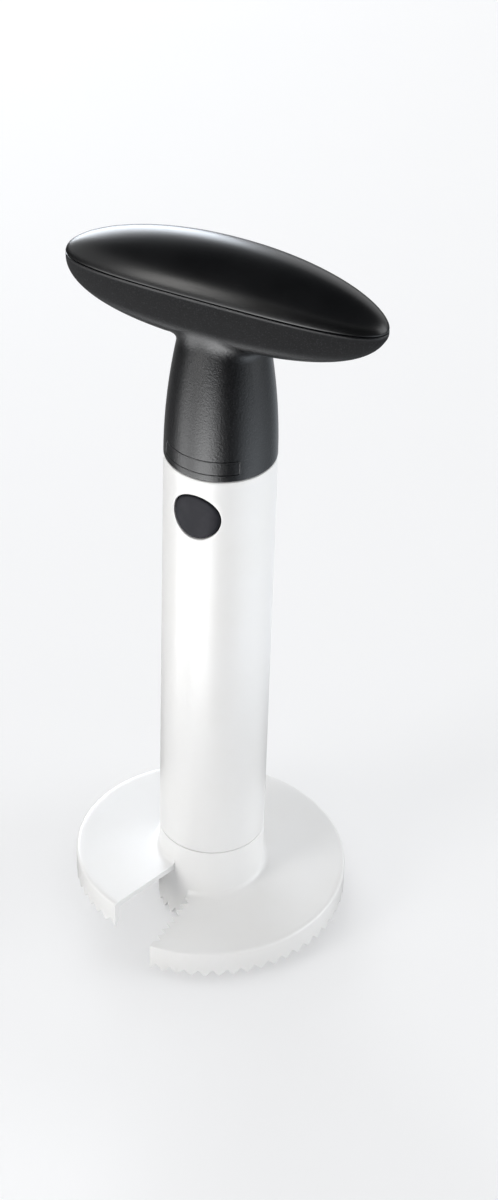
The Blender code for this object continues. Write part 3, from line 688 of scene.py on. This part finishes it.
def makeButtonArm(name, body, side, node):
    turn = evenTurns(clip["steps"])

    def ring(radius, curve=None, sunk=0.0, flat=0.0):
        x = radius * np.cos(turn)
        y = -np.sqrt(curve ** 2 - x ** 2) + sunk if curve else np.full_like(x, flat)
        return np.stack([side * x, side * y, windowHeight + radius * np.sin(turn)], -1)

    floor, hole, back, collar = (clip[k] for k in ("recessFloor", "recessRadius", "collarBack", "collarRadius"))
    face, edge, curve, rear = (clip[k] for k in ("buttonRadius", "buttonEdge", "faceCurve", "backEdge"))
    # The lines' outermost corners only say which way they run on
    behind = turned(
        (0, floor), (hole, floor, clip["recessEdge"]), (hole, back, rear), (collar, back, rear),
        (collar, floor))
    front = turned((collar, 1), (collar, 0, clip["collarEdge"]), (face, 0, clip["buttonFoot"]), (face, -1))
    rows = [ring(radius, flat=y) for radius, y in behind[:-1]]
    rows += [ring(radius, clip["collarCurve"], sunk) for radius, sunk in front[1:-1]]
    rows += [ring(face - out, curve, sunk) for sunk, out in rounded(edge)]
    rows += [ring((face - edge) * share, curve) for share in clip["faceShares"]]
    made = pieceFromPatches(name, [asPatch(rows), armPatch(side)])
    dress(made, body, "button_matte", buttonSatin, node)


def armPatch(side):
    # The springy strip above the button, its long edges rounded
    half, low, high = clip["armHalf"], windowHeight + clip["armLow"], clip["armTop"]
    middle, thick = (clip["armFace"] + clip["armBack"]) / 2, (clip["armBack"] - clip["armFace"]) / 2
    corner, count, drop = clip["armRound"], clip["armPoints"], clip["armEndDrop"]
    turns = np.radians((np.arange(count) + 0.5) * 360 / count)
    across = np.sign(np.cos(turns)) * (half - corner) + corner * np.cos(turns)
    deep = np.sign(np.sin(turns)) * (thick - corner) + corner * np.sin(turns)
    rows = []
    for share, height in ((0, low), (1, low), (1, high - drop), (clip["armEndShare"], high), (0, high)):
        flat = [side * across * share, side * (middle + deep * share), np.full_like(across, height)]
        rows.append(np.stack(flat, -1))
    return asPatch(rows)


makeButtonArm("frontButtonArm", "front_button", 1, "button_arm_front")
makeButtonArm("rearButtonArm", "rear_button", -1, "button_arm_rear")
paint(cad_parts["clip_bridge"], buttonSatin)


# Geometry Nodes: a base mesh of points goes in, the finished piece comes out

def gridSheet(graph, columns, rows):
    made = graph.node("GeometryNodeMeshGrid", {"Vertices X": columns, "Vertices Y": rows})
    return made.out("Mesh"), graph.node("GeometryNodeInputIndex")


def sweepPoint(graph, radius, angle, height):
    return graph.node("ShaderNodeCombineXYZ", {
        "X": radius * angle.math("COSINE"), "Y": radius * angle.math("SINE"), "Z": height})


def samplePoint(graph, source, index):
    values = {"Geometry": source, "Value": graph.node("GeometryNodeInputPosition"), "Index": index}
    return graph.node("GeometryNodeSampleIndex", values, data_type="FLOAT_VECTOR")


def readNumber(graph, name):
    return graph.node("GeometryNodeInputNamedAttribute", {"Name": name}, data_type="FLOAT")


def storeNumber(graph, geometry, name, value):
    values = {"Geometry": geometry, "Name": name, "Value": value}
    return graph.node("GeometryNodeStoreNamedAttribute", values, data_type="FLOAT", domain="POINT")


def peak(share):
    # 0 where the share is 0 or 1, and 1 half way between
    return 1 - (share * 2.0 - 1.0).size()


def placeAndWeld(graph, geometry, position):
    placed = graph.node("GeometryNodeSetPosition", {"Geometry": geometry, "Position": position})
    return graph.node("GeometryNodeMergeByDistance", {"Geometry": placed, "Distance": weld})


def grow(name, build, points, sizes):
    # The tree has a named input for every size, build gives the geometry that it ends with
    tree = bpy.data.node_groups.new(name, "GeometryNodeTree")
    kinds = {int: "Int", float: "Float", bpy.types.Material: "Material"}
    tree.interface.new_socket("Geometry", in_out="INPUT", socket_type="NodeSocketGeometry")
    for key, value in sizes.items():
        tree.interface.new_socket(key, in_out="INPUT", socket_type="NodeSocket" + kinds[type(value)])
    tree.interface.new_socket("Geometry", in_out="OUTPUT", socket_type="NodeSocketGeometry")
    graph = Graph(tree)
    size = graph.node("NodeGroupInput").out
    real = graph.node("GeometryNodeRealizeInstances", {"Geometry": build(graph, size)})
    made = graph.node("GeometryNodeSetMaterial", {"Geometry": real, "Material": size("Material")})
    graph.node("NodeGroupOutput", {"Geometry": made})
    base = addObject(name, newMesh(name, points.tolist(), []))
    modifier = base.modifiers.new(name, "NODES")
    modifier.node_group = tree
    for item in tree.interface.items_tree:
        if item.in_out == "INPUT" and item.name in sizes:
            modifier[item.identifier] = sizes[item.name]
    grown = base.evaluated_get(bpy.context.evaluated_depsgraph_get())
    mesh = bpy.data.meshes.new_from_object(grown)
    bpy.data.objects.remove(base)
    for attribute in ("column", "under"):
        if attribute in mesh.attributes:
            mesh.attributes.remove(mesh.attributes[attribute])
    return mesh


# Spiral cutter: a ribbon blade with a toothed skirt and a sawn leading edge, and a toothed corer ring

blade = {
    "Columns": 684, "Start Angle": -90.0, "Column Angle": 0.5, "Lead Height": 11.5,
    "Rise per Turn": 11.0, "Wedge Columns": 36, "Tooth Columns": 12, "Tooth Height": 2.2,
    "Saw Start": 19.0, "Saw Pitch": 3.243, "Saw Teeth": 7, "Saw Depth": 2.0, "Saw Fade": 24,
}
# The lands are shares of a tooth, the skirt's middles are shares of its height
bladeShape = {
    "outer": 44.0, "root": 16.2, "hub": 17.0, "fillet": 2.0, "underFillet": 1.0, "sawEnd": 41.7,
    "sawPoints": 28, "skirt": 9.5, "bevel": 2.4, "plate": 2.0, "wall": 1.8, "shoulder": 1.0,
    "innerShoulder": 0.5, "tip": 0.6, "tipEdge": 0.12, "tipInset": 0.08, "outerMiddle": 0.5,
    "innerMiddle": 0.52, "sharp": 0.5, "toothLand": 0.08, "sawLand": 0.05, "filletTurns": (0, 30, 60),
}


def ribbonSection(plate, wall):
    # Upper and under line of the blade's section, point for point: radius, share of the tooth, height
    s = bladeShape
    thin = wall / s["wall"]
    hub, fillet, small = s["hub"], s["fillet"], s["underFillet"]
    under, outer, foot = -plate - small, s["outer"], -s["skirt"]
    disc = np.linspace(hub + fillet, s["sawEnd"], s["sawPoints"] + 1)
    top = [(s["root"], 0, fillet)]
    top += [(hub + out, 0, up) for up, out in rounded(fillet, np.radians(s["filletTurns"]))]
    low = [(s["root"], 0, under), (hub, 0, under)]
    low += [(hub + midRound * small, 0, under + (1 - midRound) * small), (hub + small, 0, -plate)]
    top += [(r, 0, 0) for r in disc]
    low += [(r, 0, -plate) for r in disc]
    inner = outer - wall
    top += [(outer - out, 0, -down) for out, down in rounded(s["shoulder"] * thin)]
    low += [(inner - out, 0, -plate - down) for out, down in rounded(s["innerShoulder"] * thin)]
    top += [(outer, 0, foot * s["outerMiddle"]), (outer, 1, foot + s["tipEdge"])]
    low += [(inner, 0, foot * s["innerMiddle"]), (inner, 1, foot + s["bevel"])]
    tips = [(outer - s[tip] * thin, 1, foot) for tip in ("tipInset", "tip")]
    return np.array([*top, tips[0], *low, tips[1]], float)


def toothWave(share, land):
    # 0 at a tip and 1 in a valley, with a small land at each
    return ((peak(share) - land) * (1 / (1 - 2 * land))).clamped()


def sawShift(radius, column, size):
    # How far the leading edge is drawn back, as an angle, fading away behind it
    across = (radius / mm - size("Saw Start")) / size("Saw Pitch")
    inside = across.math("GREATER_THAN", 0.0) * across.math("LESS_THAN", size("Saw Teeth"))
    wave = toothWave(across.math("FRACT"), bladeShape["sawLand"])
    depth = wave * inside * size("Saw Depth") * mm
    return depth / radius * (1 - column / size("Saw Fade")).most(0.0)


def growBlade(graph, size):
    pairs, step = size("Pairs"), size("Column Angle") * math.radians(1)
    sheet, index = gridSheet(graph, size("Columns") + 1.0, pairs)
    sheet = storeNumber(graph, sheet, "column", index)
    # The ribbon's under side is the same sheet again, joined to it by its rims
    values = {"Mesh": sheet, "Offset Scale": 0.0, "Individual": False}
    pushed = graph.node("GeometryNodeExtrudeMesh", values, mode="FACES")
    pushedMesh = storeNumber(graph, pushed.out("Mesh"), "under", pushed.out("Top"))
    flipped = graph.node("GeometryNodeFlipFaces", {"Mesh": sheet})
    ribbon = graph.node("GeometryNodeJoinGeometry")
    for part in (flipped, pushedMesh):
        graph.feed(ribbon.node, {0: part})
    number = readNumber(graph, "column")
    column = (number / pairs).math("FLOOR")
    place = number % pairs + readNumber(graph, "under") * pairs
    full = samplePoint(graph, size("Geometry"), place)
    sharp = samplePoint(graph, size("Geometry"), place + pairs * 2.0)
    wedge = (column / size("Wedge Columns")).least(1.0)
    point = graph.node("ShaderNodeMix", {"Factor": wedge, "A": sharp, "B": full}, data_type="VECTOR")
    radius, weight, height = graph.parts(point)
    teeth = toothWave((column / size("Tooth Columns")).math("FRACT"), bladeShape["toothLand"])
    height = height + weight * teeth * size("Tooth Height") * mm
    angle = size("Start Angle") * math.radians(1) + column * step + sawShift(radius, column, size)
    rise = size("Lead Height") * mm + column * step * size("Rise per Turn") * (mm / math.tau)
    return placeAndWeld(graph, ribbon, sweepPoint(graph, radius, angle, rise + height))


corer = {"Teeth": 28, "Tooth Columns": 14, "Start Angle": 1.5, "Tooth Height": 3.0, "Tip Land": 0.14}
# Radius, share of the tooth and height, once round the ring's section
corerSection = [
    (16.85, 0, 30.95), (17.0, 0, 30.80), (17.0, 1, 0.08), (16.94, 1, 0.0), (16.42, 1, 0.0),
    (15.0, 0, 4.5), (15.0, 0, 24.65), (15.3, 0, 24.95), (16.15, 0, 24.95), (16.15, 0, 30.80),
    (16.3, 0, 30.95), (16.6, 0, 30.95),
]


def growCorer(graph, size):
    teeth, perTooth, points = size("Teeth"), size("Tooth Columns"), size("Profile Points")
    columns = teeth * perTooth
    sheet, index = gridSheet(graph, columns + 1.0, points + 1.0)
    column = (index / (points + 1.0)).math("FLOOR")
    sampled = samplePoint(graph, size("Geometry"), index % (points + 1.0) % points)
    radius, weight, height = graph.parts(sampled)
    share = (column / perTooth).math("FRACT")
    land = size("Tip Land")
    wave = peak((share - land) / (1 - land))
    height = height + weight * wave.most(0.0) * size("Tooth Height") * mm
    angle = size("Start Angle") * math.radians(1) + column / columns * math.tau
    return placeAndWeld(graph, sheet, sweepPoint(graph, radius, angle, height))


def makeCutterHead():
    full = ribbonSection(bladeShape["plate"], bladeShape["wall"])
    sharp = ribbonSection(bladeShape["sharp"], bladeShape["sharp"])
    bladePoints = np.concatenate([full, sharp]) * (mm, 1, mm)
    sizes = {**blade, "Pairs": len(full) // 2, "Material": whiteAbs}
    bladeMesh = grow("spiralBlade", growBlade, bladePoints, sizes)
    ringPoints = np.array(corerSection) * (mm, 1, mm)
    sizes = {**corer, "Profile Points": len(ringPoints), "Material": whiteAbs}
    ringMesh = grow("corerRing", growCorer, ringPoints, sizes)
    mesh = bpy.data.meshes.new("cutterHead")
    made = pieceFromMesh("cutterHead", mesh, parts=[bladeMesh, ringMesh])
    dress(made, "shaft", "white_plastic", whiteAbs, "cutter_head")


makeCutterHead()


# Two long screws that clamp plug, neck and cover

screw = {
    "Around": 24, "Rows": 336, "Length": 41.8, "Head Radius": 2.5, "Head Height": 1.8,
    "Core Radius": 1.08, "Thread Depth": 0.32, "Thread Pitch": 1.0, "Tip Length": 2.0,
}
# The thread's wave is raised and cut flat at its crest and root, the recess is a cross of two cubes
screwShape = {
    "places": [(-8.0, 0.0, 194.2), (8.0, 0.0, 194.2)], "headEdge": 0.5, "waveGain": 1.6, "waveCut": 0.4,
    "tipShare": 0.4, "endShare": 0.9999, "recess": (2.8, 0.8, 2), "sharpBend": 40,
}


def growScrews(graph, size):
    shape = screwShape
    around, rows, length = size("Around"), size("Rows"), size("Length")
    sheet, index = gridSheet(graph, around + 1.0, rows + 1.0)
    turn = (index / (rows + 1.0)).math("FLOOR") / around
    share = index % (rows + 1.0) / rows
    height = share * length
    wave = peak((height / size("Thread Pitch") - turn).math("FRACT"))
    crest = (wave * shape["waveGain"] - shape["waveCut"]).clamped()
    thread = size("Core Radius") + crest * size("Thread Depth")
    toTip = ((length - height) / size("Tip Length")).least(1.0)
    taper = toTip * (1 - shape["tipShare"]) + shape["tipShare"]
    head = size("Head Radius") - (shape["headEdge"] - height).most(0.0)
    isHead = height.math("LESS_THAN", size("Head Height"))
    ends = share.math("GREATER_THAN", 0.0) * share.math("LESS_THAN", shape["endShare"])
    radius = (head * isHead + thread * taper * (1 - isHead)) * ends * mm
    solid = placeAndWeld(graph, sheet, sweepPoint(graph, radius, turn * math.tau, height * mm))
    recessed = graph.node(
        "GeometryNodeMeshBoolean", {"Mesh 1": solid}, operation="DIFFERENCE", solver="EXACT")
    long, wide, deep = (side * mm for side in shape["recess"])
    for sides in ((long, wide, deep), (wide, long, deep)):
        arm = graph.node("GeometryNodeMeshCube", {"Size": sides})
        graph.feed(recessed.node, {"Mesh 2": arm})
    return graph.node("GeometryNodeInstanceOnPoints", {"Points": size("Geometry"), "Instance": recessed})


def makeScrews():
    sizes = {**screw, "Material": zincSteel}
    mesh = grow("handleScrews", growScrews, np.array(screwShape["places"]) * mm, sizes)
    made = pieceFromMesh("handleScrews", mesh, screwShape["sharpBend"])
    dress(made, "handle", "screw_steel", zincSteel, "handle_screw_left", "handle_screw_right")


makeScrews()


# Studio: pale floor, soft lamps and the photograph's camera

studio = {
    "floorHalf": 6000, "floorColor": (0.94, 0.942, 0.95), "floorShade": 0.985, "paperMm": 40.0,
    "floorRoughness": 0.7, "floorShine": 0.2, "floorLift": 0.41, "farLift": 0.96,
    "nearMm": 260, "farMm": 1500, "bandHigh": 0.42, "bandSoft": 0.22,
    "backdrop": (0.985, 0.992, 1.0), "paintedDarkAbove": (0.07, 0.075, 0.085), "ambient": (0.56, 0.56, 0.565),
}
# Azimuth 0 is in front and turns towards the right, elevation counts from the horizon
lamps = {
    "keySoft": {
        "azimuth": -30, "elevation": 12, "away": 1500, "size": (520, 800),
        "power": 8.8, "color": (1.0, 0.985, 0.96)},
    "rightSoft": {
        "azimuth": 108, "elevation": 10, "away": 1300, "size": (1000, 800),
        "power": 7.6, "color": (0.96, 0.98, 1.0)},
    "backSoft": {
        "azimuth": 225, "elevation": 16, "away": 1400, "size": (900, 900),
        "power": 7.0, "color": (0.97, 0.985, 1.0)},
}
# A glowing card behind and to the left that only reflections see: a painted highlight along the cover's top
# edge
paintedHighlightCard = {
    "azimuth": 220, "elevation": 12, "away": 1400, "size": (900, 680),
    "strength": 9.2, "color": (0.86, 0.92, 1.0),
}
# A black card in front and to the right that only reflections see, a painted dark reflection, keeps the cover
# dark down to its seam
darkReflectionCard = {"from": -15, "to": 84, "away": 1500, "high": 1000, "facets": 24}
# Painted reflections: brightness of the glowing cards round the tool by azimuth, as a share of the brightest
paintedReflectionRing = {
    "sides": 96, "near": 18, "far": 2600, "lift": 0.2,
    "brightFrom": 85, "nearSoft": 60, "brightTo": 390, "farSoft": 360, "rest": 0.04, "peak": 7.9,
    "leftColor": (0.985, 0.992, 1.0), "rightColor": (0.86, 0.93, 1.0), "rightFrom": 20, "rightTo": 60,
    "shares": [
        (-180, 0.11), (-150, 0.06), (-100, 0.015), (-70, 0.02), (-60, 0.56), (-50, 0.58), (-38, 0.34),
        (-26, 0.50), (-12, 1.0), (8, 0.92), (19, 0.20), (27, 0.002), (57, 0.002), (67, 0.19),
        (78, 0.26), (98, 0.26), (116, 0.14), (140, 0.05), (180, 0.11)],
}


def anyCameraRay(graph):
    # Camera rays, and the mirrored and refracted ones, so that gloss shows the same backdrop
    path = graph.node("ShaderNodeLightPath")
    shown = path.out("Is Camera Ray").most(path.out("Is Glossy Ray"))
    return shown.most(path.out("Is Transmission Ray"))


def flatPlace(graph):
    x, y, _ = graph.parts(objectPoint(graph))
    return x, y, (x * x + y * y).math("SQRT")


def flatSheet(name, across, high):
    corners = [(-across, -high, 0), (across, -high, 0), (across, high, 0), (-across, high, 0)]
    return newMesh(name, corners, [(0, 1, 2, 3)])


def bandMesh(name, low, high, closed):
    # Faces between two rows of points, and back to the first ones if closed
    count = len(low)
    faces = [(i, count + i, count + (i + 1) % count, (i + 1) % count) for i in range(count)]
    return newMesh(name, [*low, *high], faces if closed else faces[:-1])


def flatCircle(turns, radius, height):
    return [(math.sin(t) * radius * mm, -math.cos(t) * radius * mm, height * mm) for t in turns]


def awayFrom(azimuth, elevation):
    azimuth, elevation = math.radians(azimuth), math.radians(elevation)
    level = math.cos(elevation)
    return Vector((math.sin(azimuth) * level, -math.cos(azimuth) * level, math.sin(elevation)))


def placeAway(look):
    # Where a lamp or card stands, and its turn towards the windows' height
    out = awayFrom(look["azimuth"], look["elevation"])
    place = out * look["away"] * mm + Vector((0, 0, windowHeight * mm))
    return place, out.to_track_quat("Z", "Y").to_euler()


def makeFloor():
    half = studio["floorHalf"] * mm
    floor = addObject("floor", flatSheet("floor", half, half))
    material, graph, shader = newMaterial("paleFloor")
    paper = noiseAt(graph, objectPoint(graph), studio["paperMm"])
    shade = [part * studio["floorShade"] for part in studio["floorColor"]]
    tint(graph, shader, paper, studio["floorColor"], shade)
    graph.feed(shader, {"Roughness": studio["floorRoughness"], "Specular IOR Level": studio["floorShine"]})
    glow = graph.node("ShaderNodeEmission", {"Color": (*studio["backdrop"], 1), "Strength": 1.0})
    far = flatPlace(graph)[2].step(studio["nearMm"] * mm, studio["farMm"] * mm)
    lift = studio["floorLift"] + far * (studio["farLift"] - studio["floorLift"])
    own = Signal(graph, shader, shader.outputs["BSDF"])
    mixed = graph.node("ShaderNodeMixShader", {0: anyCameraRay(graph) * lift, 1: own, 2: glow})
    graph.feed(graph.tree.nodes["Material Output"], {"Surface": mixed})
    floor.data.materials.append(material)


def makeCard(name, mesh, place=(0, 0, 0), turn=(0, 0, 0)):
    # A card that only gloss sees: it lights nothing and casts no shadow
    card = addObject(name, mesh)
    card.location, card.rotation_euler = place, turn
    material, graph, shader = newMaterial(name)
    graph.feed(shader, {"Base Color": (0, 0, 0, 1), "Specular IOR Level": 0})
    mesh.materials.append(material)
    for kind in ("camera", "diffuse", "transmission", "volume_scatter", "shadow"):
        setattr(card, "visible_" + kind, False)
    return graph, shader


def makePaintedHighlightCard():
    # Painted highlight: the card glows but lights nothing
    across, high = (side / 2 * mm for side in paintedHighlightCard["size"])
    graph, shader = makeCard("paintedHighlightCard", flatSheet("paintedHighlightCard", across, high), *placeAway(paintedHighlightCard))
    glow = {"Emission Color": (*paintedHighlightCard["color"], 1), "Emission Strength": paintedHighlightCard["strength"]}
    graph.feed(shader, glow)


def makeDarkReflectionCard():
    # Painted dark reflection: a curved black card that blocks no light
    turns = np.radians(np.linspace(darkReflectionCard["from"], darkReflectionCard["to"], darkReflectionCard["facets"] + 1))
    low, high = (flatCircle(turns, darkReflectionCard["away"], z) for z in (0, darkReflectionCard["high"]))
    makeCard("darkReflectionCard", bandMesh("darkReflectionCard", low, high, closed=False))


def makePaintedReflectionRing():
    # Glowing and dark cards on the floor all round the tool that only reflections see: painted highlights and
    # painted dark bands
    look = paintedReflectionRing
    turns = np.linspace(-math.pi, math.pi, look["sides"] + 1)[:-1]
    near, far = (flatCircle(turns, radius, 0) for radius in (look["near"], look["far"]))
    mesh = bandMesh("paintedReflectionRing", near, far, closed=True)
    graph, shader = makeCard("paintedReflectionRing", mesh, (0, 0, look["lift"] * mm))
    x, y, radius = flatPlace(graph)
    azimuth = x.math("ARCTAN2", -y)
    level = graph.node("ShaderNodeValToRGB", {0: azimuth / math.tau + 0.5})
    ramp = level.node.color_ramp.elements
    while len(ramp) < len(look["shares"]):
        ramp.new(1.0)
    for stop, (place, share) in zip(ramp, look["shares"]):
        stop.position, stop.color = place / 360 + 0.5, (share, share, share, 1)
    inner = radius.step(look["brightFrom"] * mm, (look["brightFrom"] + look["nearSoft"]) * mm)
    outer = radius.step(look["brightTo"] * mm, (look["brightTo"] + look["farSoft"]) * mm)
    bright = look["rest"] + inner * (1 - outer) * (1 - look["rest"])
    side = azimuth.step(math.radians(look["rightFrom"]), math.radians(look["rightTo"]))
    color = graph.mixColors(side, (*look["leftColor"], 1), (*look["rightColor"], 1))
    glow = graph.mixColors(1.0, level * bright, color, "MULTIPLY")
    graph.feed(shader, {"Emission Color": glow, "Emission Strength": look["peak"]})


def makeWorld():
    world = bpy.context.scene.world = bpy.data.worlds.new("studio")
    world.use_nodes = True
    graph = Graph(world.node_tree)
    _, _, up = graph.parts(graph.node("ShaderNodeTexCoord").out("Generated"))
    # Camera and gloss see the backdrop up to the band and a dark colour above it, painted shade in the
    # reflections; all other rays get the even ambient light
    high = up.step(studio["bandHigh"], studio["bandHigh"] + studio["bandSoft"])
    seen = graph.mixColors(high, (*studio["backdrop"], 1), (*studio["paintedDarkAbove"], 1))
    color = graph.mixColors(anyCameraRay(graph), (*studio["ambient"], 1), seen)
    graph.feed(graph.tree.nodes["Background"], {"Color": color, "Strength": 1.0})


def makeLamps():
    for name, look in lamps.items():
        light = bpy.data.lights.new(name, "AREA")
        light.shape = "RECTANGLE"
        light.size, light.size_y = (side * mm for side in look["size"])
        light.energy, light.color = look["power"], look["color"]
        made = addObject(name, light)
        made.location, made.rotation_euler = placeAway(look)
        made.visible_camera = False


view = {
    "aimHeight": 175.0, "distance": 853.825, "azimuth": 25.263, "elevation": 33.736,
    "yaw": 24.474, "pitch": 36.691, "roll": 1.852,
    "sensor": 36.0, "focalPixels": 2884.88, "framePixels": 1200,
}


def makeCamera():
    yaw, roll = math.radians(view["yaw"]), math.radians(view["roll"])
    back = awayFrom(view["yaw"], view["pitch"])
    level = Vector((math.cos(yaw), math.sin(yaw), 0))
    upright = back.cross(level)
    right = level * math.cos(roll) + upright * math.sin(roll)
    data = bpy.data.cameras.new("photoView")
    data.sensor_width = view["sensor"]
    data.lens = view["focalPixels"] * view["sensor"] / view["framePixels"]
    camera = bpy.context.scene.camera = addObject("photoView", data)
    turn = Matrix((right, back.cross(right), back)).transposed().to_4x4()
    away = awayFrom(view["azimuth"], view["elevation"]) * view["distance"] * mm
    place = away + Vector((0, 0, view["aimHeight"] * mm))
    camera.matrix_world = Matrix.Translation(place) @ turn


makeFloor()
makePaintedReflectionRing()
makePaintedHighlightCard()
makeDarkReflectionCard()
makeWorld()
makeLamps()
makeCamera()
bpy.context.scene.view_settings.view_transform = "Standard"
print("studio ready")
